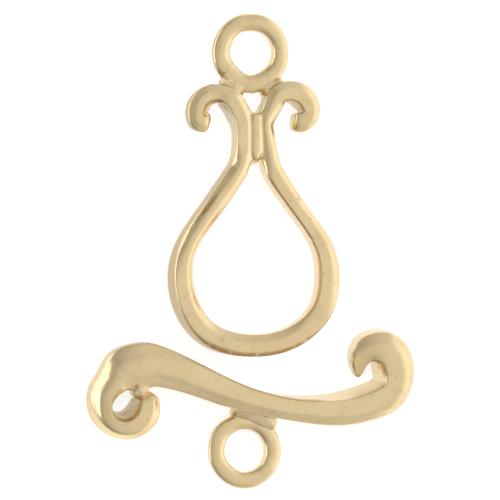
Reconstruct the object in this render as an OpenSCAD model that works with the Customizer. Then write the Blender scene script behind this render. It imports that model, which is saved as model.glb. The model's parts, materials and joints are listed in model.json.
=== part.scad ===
/* [Loop] */
// Width across the pear, outside to outside
pear_w = 10.95; // [9.5:0.1:13]
// Length of the pear, from its foot to the crotch where the strands meet
pear_l = 12.25; // [10.5:0.25:15]
// Length of the neck, where the two strands lie side by side
neck_l = 3.05; // [2.5:0.05:4.5]
// Width across the two horns, outside to outside
horn_span = 8.7; // [8:0.1:10]
// Height of the horns over the upper end of the neck
horn_rise = 1.78; // [1.6:0.02:2.4]
// Width of the loop's wire, seen from the front
wire_w = 1.3; // [1.1:0.05:1.4]
// Width of each strand along the neck
neck_w = 1.18; // [1:0.02:1.3]
// Depth of the loop's wire, front to back
wire_d = 1.56; // [1.2:0.02:2]
// Gap between the two strands, filled with solder
strand_gap = 0.05; // [0.03:0.01:0.1]

/* [Bar] */
// Distance between the eyes of the two scrolls, along the bar
scroll_span = 16.3; // [15:0.1:19]
// Height of the right scroll's eye over the left one's
scroll_step = 2.06; // [1.8:0.1:2.4]
// Distance that the bar falls from its shoulder to its lowest stretch
bar_fall = 2.85; // [2.6:0.1:3.2]
// Width of the bar at its waist, seen from the front
bar_w = 1.5; // [1.3:0.05:1.65]
// Depth of the bar, front to back
bar_d = 1.95; // [1.5:0.05:2.4]
// Radius of the eye inside the left scroll
left_eye_r = 0.85; // [0.8:0.05:1]
// Radius of the eye inside the right scroll
right_eye_r = 0.7; // [0.65:0.05:0.85]
// Lean of the bar's front face towards its eyelet, for each unit of depth
bar_lean = 0.17; // [0:0.01:0.22]

/* [Eyelets] */
// Bore of the loop's eyelet
loop_bore = 2.9; // [2.4:0.1:3.6]
// Thickness of the loop's eyelet wire
loop_ring_t = 1; // [0.8:0.05:1.3]
// Clear gap between the neck and the loop's eyelet
link_gap = 1.22; // [1.1:0.02:1.5]
// Bore of the bar's eyelet
bar_bore = 2.75; // [2.3:0.05:3.4]
// Thickness of the bar's eyelet wire
bar_ring_t = 0.94; // [0.8:0.02:1.2]
// Gap between the bar and its eyelet, bridged by solder
seat_gap = 0.36; // [0.2:0.01:0.45]
// Height of the bore's cylindrical land, as a share of the ring's thickness
land = 0.3; // [0.2:0.05:0.5]

/* [Layout] */
// Distance from the loop's middle line to the eye of the bar's left scroll
lay_x = 8.54; // [7:0.05:10]
// Distance from the loop's foot down to the eye of the bar's left scroll
lay_y = 2.69; // [2.4:0.01:5]

/* [Finish] */
// Steps of the surface from one row of a table to the next
steps = 4; // [2:1:6]

/* [Hidden] */
gold = [0.86, 0.76, 0.53];
// Columns of a wire's rows: place, width, depth, lift off the floor, and the share by which its wall
// flares out towards the back, on the line's left or, below zero, on its right
AT_X = 0;
AT_Y = 1;
WIDE = 2;
DEEP = 3;
LIFT = 4;
FLARE = 5;
// Passes that draw a smooth line through its rows
passes = 5;
// Rings that round off an end
end_rings = 4;
// Smallest share of its section that an end keeps
end_left = 0.25;
// Length of a round end, in rows: on the loop and the solder, at the bar's left tip and at its right one
wire_round = 0.9;
left_round = 0.8;
right_round = 0.5;
// Rows kept free of other rings beside a round end
round_room = 0.1;
// Small step that finds a line's direction
nudge = 0.01;
// Sides of the bores and of the eyelets' round wire
bore_sides = 72;
ring_sides = 24;

// Sides of a section, with a crisp or a round front edge: share of half the width and share of the
// depth, from the back to the front
crisp_side = [[0.5, 0], [0.88, 0.08], [1, 0.25], [0.97, 0.78], [0.89, 0.88], [0.5, 0.965]];
round_side = [[0.5, 0], [0.88, 0.08], [1, 0.25], [0.98, 0.6], [0.84, 0.82], [0.5, 0.955]];
wire_section = whole(crisp_side, crisp_side);
bar_section = whole(crisp_side, round_side);

// Share of the wire's width that lies over the line of a horn's top
horn_top = 0.46;

// Places in the loop that its tables are shares of
pear_half = (pear_w - wire_w) / 2;
neck_half = (neck_w + strand_gap) / 2;
horn_half = (horn_span - wire_w) / 2;
foot_y = wire_w / 2;
crotch_y = pear_l;
neck_y = pear_l + neck_l;
horn_y = horn_rise - wire_w * horn_top;

// Pear from its foot to the crotch: share of half its width, share of its height
pear_rows = [
    [0, 0],
    [0.5, 0.051],
    [0.866, 0.189],
    [1, 0.378],
    [0.905, 0.551],
    [0.625, 0.724],
    [0.325, 0.897]];

// Neck: share of the wire's width that a strand stands out, share of the neck's length
neck_rows = [
    [0.32, -0.06],
    [0.08, 0.27],
    [0.02, 0.6]];

// Left horn from the neck to its tip: share of the way out, share of the rise, width, depth and lift as
// shares of the wire's width and depth, and flare
left_horn_rows = [
    [0.04, -0.44, 0.93, 0.98, 0, 0],
    [0.16, 0.3, 0.94, 0.95, 0, 0],
    [0.3, 0.78, 0.92, 0.92, 0, 0],
    [0.49, 0.97, 0.88, 0.86, 0, 0],
    [0.7, 0.95, 0.89, 0.8, 0, 0],
    [0.89, 0.62, 0.93, 0.77, 0, 0],
    [0.99, 0.07, 0.97, 0.75, 0, 0],
    [0.96, -0.44, 1, 0.73, 0, 0],
    [0.785, -0.78, 1.02, 0.71, 0, 0]];

// Right horn, in the same columns
right_horn_rows = [
    [0.03, -0.44, 0.92, 0.98, 0, 0],
    [0.15, 0.22, 0.86, 0.97, 0, 0],
    [0.24, 0.73, 0.88, 0.96, 0, 0],
    [0.38, 1.03, 0.92, 0.94, 0, 0],
    [0.6, 1.08, 0.93, 0.92, 0, 0],
    [0.83, 0.84, 0.92, 0.92, 0, 0],
    [0.98, 0.3, 0.92, 0.92, 0, -0.1],
    [0.97, -0.28, 0.95, 0.88, 0, -0.1],
    [0.84, -0.68, 0.96, 0.84, 0, 0],
    [0.67, -0.76, 0.94, 0.8, 0, 0]];

// Middle of the bar: share of the span, share of the fall, width, depth and lift as shares of the bar's
// width and depth, and flare
bar_rows = [
    [0.126, 0.99, 1.63, 1, 0, 0.12],
    [0.257, 0.76, 1.36, 1, 0, 0.04],
    [0.379, 0.48, 1.18, 1, 0, 0],
    [0.49, 0.283, 1.025, 1, 0, 0],
    [0.611, 0.118, 0.95, 1, 0, 0.08],
    [0.738, 0.022, 1, 1, 0, 0.22],
    [0.86, 0, 1.09, 1.02, 0, 0.36],
    [0.966, 0.114, 1.21, 1.05, 0, 0.42]];
// Height of the bar's lowest stretch over the left eye, as a share of the fall
bar_low = -0.197;
// Row of that table where the eyelet sits
SEAT = 3;

// Left scroll, from its tip to the bar: angle round its eye, share of the eye's radius, width, depth and
// lift as shares of the bar's, and flare
left_scroll_rows = [
    [388, 1.25, 0.66, 0.88, 0.04, 0],
    [366, 1.02, 0.9, 0.95, 0, -0.15],
    [338, 0.93, 1.05, 1, 0, -0.22],
    [310, 0.93, 1.02, 1, 0, -0.22],
    [280, 1.02, 0.92, 0.98, 0, -0.2],
    [248, 1.1, 0.86, 0.95, 0, -0.15],
    [215, 1.1, 0.9, 0.93, 0, -0.05],
    [182, 0.98, 0.99, 0.93, 0, 0],
    [152, 0.93, 1.09, 0.94, 0, 0],
    [124, 0.92, 1.27, 0.96, 0, 0.03],
    [97, 0.94, 1.64, 0.98, 0, 0.08],
    [69, 1.27, 1.74, 1, 0, 0.12]];

// Right scroll, from the bar to its point, in the same columns
right_scroll_rows = [
    [-62, 1.33, 1.32, 1.08, 0, 0.4],
    [-30, 1.14, 1.33, 1.1, 0, 0.34],
    [2, 1.04, 1.34, 1.1, 0, 0.26],
    [34, 0.99, 1.35, 1.08, 0, 0.14],
    [64, 1.03, 1.28, 1.05, 0, 0.04],
    [92, 0.98, 1.14, 1, 0, 0],
    [117, 0.95, 1, 0.92, 0.02, 0],
    [142, 0.86, 0.82, 0.8, 0.07, 0],
    [163, 0.86, 0.6, 0.68, 0.13, 0],
    [182, 1.02, 0.36, 0.54, 0.2, 0],
    [198, 1.5, 0.12, 0.38, 0.28, 0]];

// Solder between a horn and the eyelet: angle round the eyelet, share of its outer radius, width as a
// share of the ring's thickness, depth and lift as shares of the wire's depth, and flare
horn_solder_rows = [
    [220, 1.03, 0.4, 0.4, 0.1, 0],
    [228, 1.06, 0.7, 0.62, 0.05, 0],
    [238, 1.06, 0.8, 0.66, 0.04, 0],
    [248, 1.04, 0.72, 0.64, 0.04, 0],
    [257, 1, 0.5, 0.5, 0.1, 0]];

// Solder between the bar and its eyelet, in the same columns, with the bar's depth for the wire's
seat_solder_rows = [
    [111, 1.04, 0.55, 0.38, 0.08, 0],
    [100, 1.1, 0.9, 0.46, 0.03, 0],
    [84, 1.13, 1.05, 0.48, 0.02, 0],
    [64, 1.14, 1.15, 0.47, 0.02, 0],
    [47, 1.12, 0.8, 0.42, 0.05, 0],
    [36, 1.03, 0.45, 0.34, 0.1, 0]];

// Solder down the neck: share of the neck's length, share of a strand's width
neck_solder_rows = [
    [-0.09, 0.32],
    [0.05, 0.5],
    [0.38, 0.5],
    [0.72, 0.5],
    [1.02, 0.56]];
// Depth of the neck's solder and its lift, as shares of the wire's depth
neck_solder_d = 0.86;
neck_solder_lift = 0.04;

// Solder between the left scroll's tip and the bar: width, depth and lift, as shares of the bar's, and
// its places, as shares of the way from the tip's middle line to the bar's
tip_solder = [0.5, 0.7, 0.1];
tip_solder_at = [0, 0.35, 0.7];

// Row of a table, with its ends carried straight on
function row_at(rows, i) =
    i < 0 ? 2 * rows[0] - rows[1] :
    i >= len(rows) ? 2 * rows[len(rows) - 1] - rows[len(rows) - 2] :
    rows[i];

// Height that a cubic line reaches beside one of its rows
function settled(rows, i) = (row_at(rows, i - 1) + 4 * row_at(rows, i) + row_at(rows, i + 1)) / 6;

// Rows moved so that the cubic line passes through the rows wanted
function drawn(wanted, rows, left) =
    left == 0 ? rows :
    drawn(wanted, [for (i = [0:len(rows) - 1]) rows[i] + wanted[i] - settled(rows, i)], left - 1);

// Point of the smooth line: t counts rows from the first
function line_at(rows, t) =
    let (i = min(floor(t), len(rows) - 2), f = t - i)
    (row_at(rows, i - 1) * pow(1 - f, 3)
        + row_at(rows, i) * (3 * pow(f, 3) - 6 * f * f + 4)
        + row_at(rows, i + 1) * (-3 * pow(f, 3) + 3 * f * f + 3 * f + 1)
        + row_at(rows, i + 2) * pow(f, 3)) / 6;

function flat(v) = [v[0], v[1]];

function turned(list) = [for (i = [len(list) - 1:-1:0]) list[i]];

// Closed section: its side to the left of the line, its top and its other side
function whole(left, right) =
    concat(left, [[0, 1]], [for (p = turned(right)) [-p[0], p[1]]]);

// Unit vector across the line, to its left
function across(rows, t) =
    let (d = flat(line_at(rows, t + nudge)) - flat(line_at(rows, t - nudge)), n = d / norm(d))
    [-n[1], n[0]];

// Where the rings of a wire stand: close together at a round end
function stops(count, first_round, last_round) =
    let (inner = [for (i = [1:(count - 1) * steps - 1]) i / steps])
    concat(
        [for (i = [end_rings:-1:0]) first_round * (1 - sin(90 * i / end_rings))],
        [for (t = inner) if (t > first_round + round_room && t < count - 1 - round_room - last_round) t],
        [for (i = [0:end_rings]) count - 1 - last_round * (1 - sin(90 * i / end_rings))]);

// Share of the full section left at a round end
function end_share(t, count, first_round, last_round) =
    let (k = max(0, 1 - t / first_round, 1 - (count - 1 - t) / last_round))
    max(end_left, sqrt(max(0, 1 - k * k)));

// One ring of points round the line at t
function ring_at(rows, section, t, share, lean) =
    let (r = line_at(rows, t), n = across(rows, t), lift = max(0, r[LIFT]))
    [for (p = section)
        let (
            z = lift + r[DEEP] * (0.5 + (p[1] - 0.5) * share),
            flare = p[0] * r[FLARE] > 0 ? abs(r[FLARE]) * (1 - p[1]) : 0,
            out = p[0] * (1 + flare) * r[WIDE] * share / 2)
        [r[AT_X] + n[0] * out, r[AT_Y] + n[1] * out - lean * z, z]];

// All points of a wire, ring after ring
function wire_points(rows, section, first_round, last_round, lean) =
    [for (t = stops(len(rows), first_round, last_round))
        each ring_at(rows, section, t, end_share(t, len(rows), first_round, last_round), lean)];

// Solid wire through rings of n points
module wire(points, n) {
    rings = len(points) / n;
    side = [for (r = [0:rings - 2], i = [0:n - 1])
        let (a = r * n + i, b = r * n + (i + 1) % n)
        each [[a, b + n, b], [a, a + n, b + n]]];
    first = [for (i = [1:n - 2]) [0, i, i + 1]];
    last = [for (i = [1:n - 2]) [(rings - 1) * n, (rings - 1) * n + i + 1, (rings - 1) * n + i]];
    polyhedron(points, concat(side, first, last), convexity = 10);
}

// Ring of round wire with a short cylindrical land in its bore, resting on the floor
module ring(bore, t) {
    r = bore / 2;
    l = t * land / 2;
    rotate_extrude($fn = bore_sides)
        translate([r, t / 2])
            union() {
                translate([0, -l])
                    square([t / 2, 2 * l]);
                intersection() {
                    translate([t / 2, 0])
                        circle(d = t, $fn = ring_sides);
                    square([2 * t, 2 * t], center = true);
                }
            }
}

// Bore of an eyelet, running past both its faces
module bore_cut(bore, t) {
    translate([0, 0, -t])
        cylinder(h = 4 * t, d = bore, $fn = bore_sides);
}

// Loop, standing on its foot at the origin
function horn_row(r, side) = [
    side * (neck_half + r[AT_X] * (horn_half - neck_half)),
    neck_y + r[AT_Y] * horn_y,
    r[WIDE] * wire_w,
    r[DEEP] * wire_d,
    r[LIFT] * wire_d,
    side * r[FLARE]];

function pear_row(r, side) = [
    side * r[AT_X] * pear_half,
    foot_y + r[AT_Y] * (crotch_y - foot_y),
    wire_w,
    wire_d,
    0,
    0];

function neck_row(r, side) = [
    side * (neck_half + r[AT_X] * wire_w),
    crotch_y + r[AT_Y] * neck_l,
    neck_w,
    wire_d,
    0,
    0];

loop_wanted = concat(
    [for (r = turned(left_horn_rows)) horn_row(r, -1)],
    [for (r = turned(neck_rows)) neck_row(r, -1)],
    [for (i = [len(pear_rows) - 1:-1:1]) pear_row(pear_rows[i], -1)],
    [for (r = pear_rows) pear_row(r, 1)],
    [for (r = neck_rows) neck_row(r, 1)],
    [for (r = right_horn_rows) horn_row(r, 1)]);
loop_rows = drawn(loop_wanted, loop_wanted, passes);
loop_points = wire_points(loop_rows, wire_section, wire_round, wire_round, 0);
loop_ring_y = neck_y + link_gap + loop_ring_t + loop_bore / 2;
loop_ring_r = loop_bore / 2 + loop_ring_t;

// Bar, with the eye of its left scroll at the origin
function polar(at, r, angle) = [at[0] + r * cos(angle), at[1] + r * sin(angle)];

function scroll_row(r, at, eye_r) =
    let (w = r[WIDE] * bar_w, p = polar(at, r[AT_Y] * eye_r + w / 2, r[AT_X]))
    [p[0], p[1], w, r[DEEP] * bar_d, r[LIFT] * bar_d, r[FLARE]];

function bar_row(r) = [
    r[AT_X] * scroll_span,
    (bar_low + r[AT_Y]) * bar_fall,
    r[WIDE] * bar_w,
    r[DEEP] * bar_d,
    0,
    r[FLARE]];

left_eye = [0, 0];
right_eye = [scroll_span, scroll_step];
bar_wanted = concat(
    [for (r = left_scroll_rows) scroll_row(r, left_eye, left_eye_r)],
    [for (r = bar_rows) bar_row(r)],
    [for (r = right_scroll_rows) scroll_row(r, right_eye, right_eye_r)]);
bar_lined = drawn(bar_wanted, bar_wanted, passes);
bar_points = wire_points(bar_lined, bar_section, left_round, right_round, bar_lean);
seat_row = bar_row(bar_rows[SEAT]);
bar_ring_r = bar_bore / 2 + bar_ring_t;
bar_ring_at = [seat_row[AT_X], seat_row[AT_Y] - seat_row[WIDE] / 2 - seat_gap - bar_ring_r];

// Solder, as short wires with round ends
module solder(rows) {
    lined = drawn(rows, rows, passes);
    wire(wire_points(lined, wire_section, wire_round, wire_round, 0), len(wire_section));
}

function solder_row(r, at, ring_r, ring_t, deep) =
    let (p = polar(at, r[AT_Y] * ring_r, r[AT_X]))
    [p[0], p[1], r[WIDE] * ring_t, r[DEEP] * deep, r[LIFT] * deep, 0];

function mirrored(r) = [180 - r[0], r[1], r[2], r[3], r[4], r[5]];

module loop_part() {
    difference() {
        union() {
            wire(loop_points, len(wire_section));
            translate([0, loop_ring_y])
                ring(loop_bore, loop_ring_t);
            solder([for (r = horn_solder_rows)
                solder_row(r, [0, loop_ring_y], loop_ring_r, loop_ring_t, wire_d)]);
            solder([for (r = turned(horn_solder_rows))
                solder_row(mirrored(r), [0, loop_ring_y], loop_ring_r, loop_ring_t, wire_d)]);
            solder([for (r = neck_solder_rows) [0, crotch_y + r[0] * neck_l, r[1] * neck_w,
                neck_solder_d * wire_d, neck_solder_lift * wire_d, 0]]);
        }
        translate([0, loop_ring_y])
            bore_cut(loop_bore, loop_ring_t);
    }
}

module bar_part() {
    tip = scroll_row(left_scroll_rows[0], left_eye, left_eye_r);
    shoulder = bar_row(bar_rows[0]);
    difference() {
        union() {
            wire(bar_points, len(bar_section));
            translate(bar_ring_at)
                ring(bar_bore, bar_ring_t);
            solder([for (r = seat_solder_rows)
                solder_row(r, bar_ring_at, bar_ring_r, bar_ring_t, bar_d)]);
            solder([for (share = tip_solder_at)
                let (p = flat(tip) * (1 - share) + flat(shoulder) * share)
                [p[0], p[1], tip_solder[0] * bar_w, tip_solder[1] * bar_d, tip_solder[2] * bar_d, 0]]);
        }
        translate(bar_ring_at)
            bore_cut(bar_bore, bar_ring_t);
    }
}

// Middle of all that lies on the floor
bar_at = [-lay_x, -lay_y];
lows = concat(loop_points, [for (p = bar_points) p + [bar_at[0], bar_at[1], 0]],
    [[0, loop_ring_y + loop_ring_r, 0], [0, bar_at[1] + bar_ring_at[1] - bar_ring_r, 0]]);
xs = [for (p = lows) p[0]];
ys = [for (p = lows) p[1]];
middle = [(min(xs) + max(xs)) / 2, (min(ys) + max(ys)) / 2];

module clasp_loop() {
    color(gold)
        translate(-middle)
            loop_part();
}

module toggle_bar() {
    color(gold)
        translate(bar_at - middle)
            bar_part();
}

clasp_loop();
toggle_bar();
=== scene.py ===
"""Toggle clasp in polished pale gold: a pear-shaped loop with curled horns, and a scrolled bar."""
import json
import math

import bmesh
import bpy
from mathutils import Matrix, Vector

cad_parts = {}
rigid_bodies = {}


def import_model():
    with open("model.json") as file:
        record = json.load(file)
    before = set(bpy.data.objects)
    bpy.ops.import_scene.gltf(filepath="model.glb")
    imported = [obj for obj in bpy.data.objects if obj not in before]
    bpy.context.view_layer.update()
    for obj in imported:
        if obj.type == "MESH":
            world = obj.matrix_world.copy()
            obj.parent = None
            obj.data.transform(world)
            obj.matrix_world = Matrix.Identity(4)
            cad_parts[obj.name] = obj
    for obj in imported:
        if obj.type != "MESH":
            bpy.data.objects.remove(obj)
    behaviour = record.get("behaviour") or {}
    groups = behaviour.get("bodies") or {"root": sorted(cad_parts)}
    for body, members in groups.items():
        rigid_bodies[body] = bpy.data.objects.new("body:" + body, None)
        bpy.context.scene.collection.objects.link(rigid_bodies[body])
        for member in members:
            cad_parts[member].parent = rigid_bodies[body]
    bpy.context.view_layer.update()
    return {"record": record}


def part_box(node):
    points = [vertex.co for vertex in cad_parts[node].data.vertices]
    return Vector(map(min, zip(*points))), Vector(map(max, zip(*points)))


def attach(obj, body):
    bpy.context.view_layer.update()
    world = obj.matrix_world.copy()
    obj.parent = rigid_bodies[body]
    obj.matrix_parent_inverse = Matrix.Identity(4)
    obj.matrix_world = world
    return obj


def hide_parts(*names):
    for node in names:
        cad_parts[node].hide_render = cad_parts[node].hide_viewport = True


bl_info = {
    "name": "Toggle clasp",
    "version": (1, 0, 0),
    "blender": (4, 5, 0),
    "location": "3D View > Sidebar > Clasp",
    "description": "Models a toggle clasp of two cast halves, its gold finish and a plain studio",
    "category": "Add Mesh",
}

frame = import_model()
MM = 0.001
MOUNTS = {m["name"]: m for m in frame["record"]["mounts"]}
LOOP_LOW, LOOP_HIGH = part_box("clasp_loop")
BAR_LOW, BAR_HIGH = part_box("toggle_bar")
LOOP_EYE = Vector(MOUNTS["loop_eyelet"]["pos_m"]) / MM
BAR_EYE = Vector(MOUNTS["bar_eyelet"]["pos_m"]) / MM

# Subdivision levels of a skin, steps round an eyelet, and the angle below which shading is smooth
LEVELS = 3
RING_STEPS = 24
SMOOTH_ANGLE = math.radians(38)

# Columns of a wire's rows: place, width, depth, lift off the floor, how far the back of each wall
# flares out, and the front edge on each side: -1 is crisp and bright, 0 crisp with patina, 1
# bevelled, 2 domed and 3 slanting. Left and right are the line's own
AT_X, AT_Y, WIDE, DEEP, LIFT, FLARE_LEFT, FLARE_RIGHT, LEFT, RIGHT = range(9)

# Left strand of the pear, from its foot to the crotch: share of half its width, share of its
# height, share of the wire's width, the outer wall's flare, and the edges inside and outside
PEAR_LEFT_ROWS = [
    (0.53, 0.045, 1.09, 0.1, 1.2, 0.4),
    (0.86, 0.188, 1.07, 0.2, 1.5, -0.7),
    (0.968, 0.378, 1.01, 0.25, 1.8, -1),
    (0.88, 0.551, 0.96, 0.14, 1.8, 1.15),
    (0.605, 0.724, 0.98, 0, 1.5, 1.1),
    (0.31, 0.897, 0.96, 0, 1.2, 1.15),
]

# Foot and right strand of the pear, in the same columns
PEAR_RIGHT_ROWS = [
    (0, 0.003, 1.06, 0, 1.25, 0.5),
    (0.505, 0.048, 1.04, 0, 1.2, 0.45),
    (0.896, 0.188, 1.03, 0, 0.3, 0.4),
    (1.0165, 0.378, 1.14, 0, 0.05, 1.8),
    (0.926, 0.551, 1.0, 0, 0.05, 1.9),
    (0.638, 0.724, 0.885, 0, 0.1, 1.8),
    (0.335, 0.897, 0.95, 0, 0.1, 1.6),
]

# Neck: the left strand's step out in wire widths, share of the neck's length, its edges by the seam
# and outside, and then the right strand's step out and edges
NECK_ROWS = [
    (0.22, -0.06, 1.2, 1.15, 0.38, 1.15, 1.6),
    (0.05, 0.27, 1.4, -0.8, 0.2, 1.5, 1.7),
    (0.04, 0.6, 1.4, -1, 0.07, 1.5, 1.7),
]

# Left horn from the neck to its tip: share of the way out, share of the rise, shares of width and
# depth, lift, flares, and the edges on top of the horn and in its hollow. HORN_TOP is the share of
# the wire's width between a horn's line and its top
LEFT_HORN_ROWS = [
    (0.04, -0.44, 0.96, 0.98, 0, 0, 0.2, 1.2, -1),
    (0.16, 0.3, 0.94, 0.95, 0, 0, 0.4, 1.2, -1),
    (0.3, 0.76, 0.92, 0.92, 0, -0.1, 0.4, 1.15, -0.6),
    (0.49, 0.96, 0.88, 0.86, 0, -0.1, 0, 1.15, 0.3),
    (0.695, 0.95, 0.92, 0.8, 0, -0.1, 0, 1.15, 0.6),
    (0.895, 0.62, 0.96, 0.77, 0, -0.08, 0, 1.3, 0.8),
    (0.995, 0.07, 1.0, 0.75, 0, -0.06, 0, 1.5, 0.9),
    (0.95, -0.42, 1.03, 0.73, 0, -0.06, 0, 1.3, 0.8),
    (0.705, -0.67, 1.06, 0.71, 0, -0.06, 0, 1.15, 0.6),
]

HORN_TOP = 0.46

# Right horn, in the same columns
RIGHT_HORN_ROWS = [
    (0.03, -0.44, 0.95, 0.98, 0, 0, 0, 1.3, 1.6),
    (0.155, 0.22, 0.92, 0.97, 0, 0, 0, 1.2, 1.2),
    (0.245, 0.73, 0.94, 0.96, 0, 0, 0, 1.2, 0.6),
    (0.38, 1.05, 0.93, 0.94, 0, 0, 0.1, 1.2, 0.2),
    (0.61, 1.13, 0.96, 0.92, 0, 0, 0.25, 1.2, 0),
    (0.855, 0.88, 0.99, 0.92, 0, 0, 0.4, 1.6, 0),
    (1.005, 0.3, 1.0, 0.92, 0, 0, 0.2, 1.8, 0),
    (0.985, -0.21, 0.98, 0.88, 0, 0, 0.05, 1.8, 0),
    (0.84, -0.52, 0.96, 0.84, 0, 0, 0, 1.5, 0),
    (0.625, -0.52, 0.92, 0.8, 0, 0, 0, 1.2, 0.1),
]

# Middle of the bar: share of the span, share of the fall, shares of the bar's width and depth,
# lift, flares, and the edges above and below
BAR_ROWS = [
    (0.126, 1.062, 1.78, 1, 0, -0.2, 0, 1.3, 1.15),
    (0.257, 0.808, 1.42, 1, 0, -0.22, 0, 0.1, 1.15),
    (0.379, 0.525, 1.22, 1, 0, -0.24, 0, 0, 1.15),
    (0.49, 0.312, 1.06, 1, 0, -0.2, 0, 0, 1.2),
    (0.611, 0.14, 0.98, 1, 0, -0.1, 0, 0, 1.25),
    (0.738, 0.035, 1.02, 1, 0, 0.1, 0, -0.2, 1.3),
    (0.86, 0.015, 1.15, 1.02, 0, 0.28, 0, -1, 1.4),
    (0.966, 0.118, 1.22, 1.05, 0, 0.38, 0, -1, 1.5),
]

# Share of the fall from the left eye to where the bar's rows count from. Then the bar over its
# eyelet: share of the span, share of the fall, and half its width as a share of the bar's
BAR_DROP = -0.197
SEAT_ALONG, SEAT_AT, SEAT_HALF = 0.49, 0.283, 0.5125

# Left scroll, from its tip to the bar: angle round its eye, share of the eye's radius, shares of
# width and depth, lift, flares, and the edges outside and by the eye. Its line turns with the eye
# on its right
LEFT_SCROLL_ROWS = [
    (388, 1.25, 0.62, 0.88, 0.04, 0, 0.1, 0.3, 0.2),
    (366, 1.02, 0.86, 0.95, 0, 0, 0.4, 0.9, 0),
    (338, 0.93, 1.0, 1, 0, 0, 0.5, 1.3, 0),
    (310, 0.93, 0.97, 1, 0, 0, 0.55, 1.4, 0),
    (280, 1.02, 0.88, 0.98, 0, 0, 0.6, 1.5, 0.1),
    (248, 1.12, 0.81, 0.95, 0, 0, 0.62, 1.8, 0.2),
    (215, 1.14, 0.82, 0.93, 0, 0, 0.32, 2.5, 0.2),
    (182, 1.1, 0.85, 0.93, 0, 0, 0, 3, 0.2),
    (152, 0.98, 0.97, 0.94, 0, -0.02, 0, 3, 0.4),
    (124, 0.93, 1.16, 0.96, 0, -0.1, 0, 3, 0.6),
    (97, 0.94, 1.76, 0.98, 0, -0.18, 0, 2.4, 1.15),
    (69, 1.27, 2.02, 1, 0, -0.2, 0, 1.5, 1.2),
]

# Right scroll, from the bar to its point, in the same columns. Its line turns with the eye on its
# left, so the eye's side comes before the outside
RIGHT_SCROLL_ROWS = [
    (-62, 1.33, 1.32, 1.08, 0, 0.31, 0, -1, 1.7),
    (-30, 1.05, 1.37, 1.1, 0, 0.44, 0, -0.9, 1.9),
    (2, 0.78, 1.46, 1.1, 0, 0.45, 0, -0.2, 2),
    (34, 0.73, 1.47, 1.08, 0, 0.43, 0, 0, 1.8),
    (64, 0.86, 1.36, 1.05, 0, 0.39, 0, 0, 1.3),
    (92, 0.83, 1.21, 1, 0, 0.25, 0, 0.1, 1.3),
    (117, 0.89, 1.01, 0.92, 0.02, 0.1, -0.06, 0.1, 1.2),
    (142, 0.86, 0.78, 0.8, 0.07, 0, -0.1, 0.1, 0.4),
    (163, 0.86, 0.6, 0.68, 0.13, 0, -0.08, 0.1, 0.2),
    (185, 1.03, 0.38, 0.54, 0.2, 0, 0, 0.1, 0.1),
    (204, 1.5, 0.12, 0.38, 0.28, 0, 0, 0.3, 0.2),
]

# Solder between a horn and the eyelet: angle round the eyelet, share of its outer radius, share of
# its wire's width, and depth and lift as shares of the loop's depth
HORN_SOLDER_ROWS = [
    (220, 0.96, 0.45, 0.5, 0.04),
    (226, 1.0, 0.92, 0.56, 0.02),
    (233, 1.06, 1.4, 0.58, 0.01),
    (243, 1.06, 1.55, 0.58, 0.01),
    (250, 0.98, 1.05, 0.56, 0.01),
    (257, 0.93, 0.5, 0.5, 0.04),
]

# Solder between the bar and its eyelet, in the same columns, with the bar's depth
SEAT_SOLDER_ROWS = [
    (110, 1.03, 0.45, 0.36, 0.06),
    (99, 1.1, 0.9, 0.5, 0.03),
    (84, 1.12, 1.2, 0.6, 0.02),
    (64, 1.12, 1.4, 0.6, 0.02),
    (47, 1.06, 1.0, 0.5, 0.04),
    (35, 0.98, 0.5, 0.36, 0.08),
]

# Solder down the neck: share of the neck's length, of a strand's width and of the depth. Its lift
# is a share of the depth too
NECK_SOLDER_ROWS = [
    (-0.08, 0.3, 0.7),
    (0.05, 0.75, 0.9),
    (0.2, 1.15, 0.955),
    (0.45, 1.3, 0.965),
    (0.7, 1.3, 0.965),
    (0.9, 1.15, 0.94),
    (1, 0.9, 0.86),
]
NECK_SOLDER_LIFT = 0.02

# Solder between the left scroll's tip and the bar: angle round the eye, share of its radius, share
# of the bar's width, and depth and lift as shares of the bar's depth
TIP_SOLDER_ROWS = [
    (14, 1.4, 0.45, 0.6, 0.1),
    (32, 1.46, 0.65, 0.84, 0.04),
    (50, 1.66, 0.68, 0.86, 0.04),
    (68, 1.8, 0.7, 0.8, 0.05),
    (80, 2.2, 0.45, 0.6, 0.1),
]

# Sides of a section from the back to the front, for the four front edges: share of half the width,
# share of the depth, crease. Beside each stands the height that the middle of the face loses by it
SIDES = [
    ([(0.45, 0, 0), (0.83, 0.05, 0), (0.97, 0.2, 0), (1, 0.6, 0),
      (0.995, 0.95, 0.85), (0.87, 0.994, 0), (0.43, 1, 0)], 0),
    ([(0.45, 0, 0), (0.8, 0.05, 0), (0.96, 0.2, 0), (1, 0.52, 0),
      (0.985, 0.855, 0.4), (0.52, 0.955, 0.1), (0.26, 0.99, 0)], 0),
    ([(0.44, 0, 0), (0.76, 0.05, 0), (0.94, 0.18, 0), (1, 0.4, 0),
      (0.95, 0.62, 0), (0.76, 0.78, 0), (0.42, 0.92, 0)], 0.025),
    ([(0.45, 0, 0), (0.84, 0.03, 0), (0.97, 0.14, 0), (1, 0.34, 0),
      (0.97, 0.54, 0.5), (0.62, 0.7, 0), (0.3, 0.825, 0)], 0.1),
]

# Front edges of a run of solder
SOLDER_EDGES = (1.3, 1.3)

# Share of the depth where a section's front begins, and the power by which a lowered one bends
FRONT_FROM, FRONT_BEND = 0.7, 1.3

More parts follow.
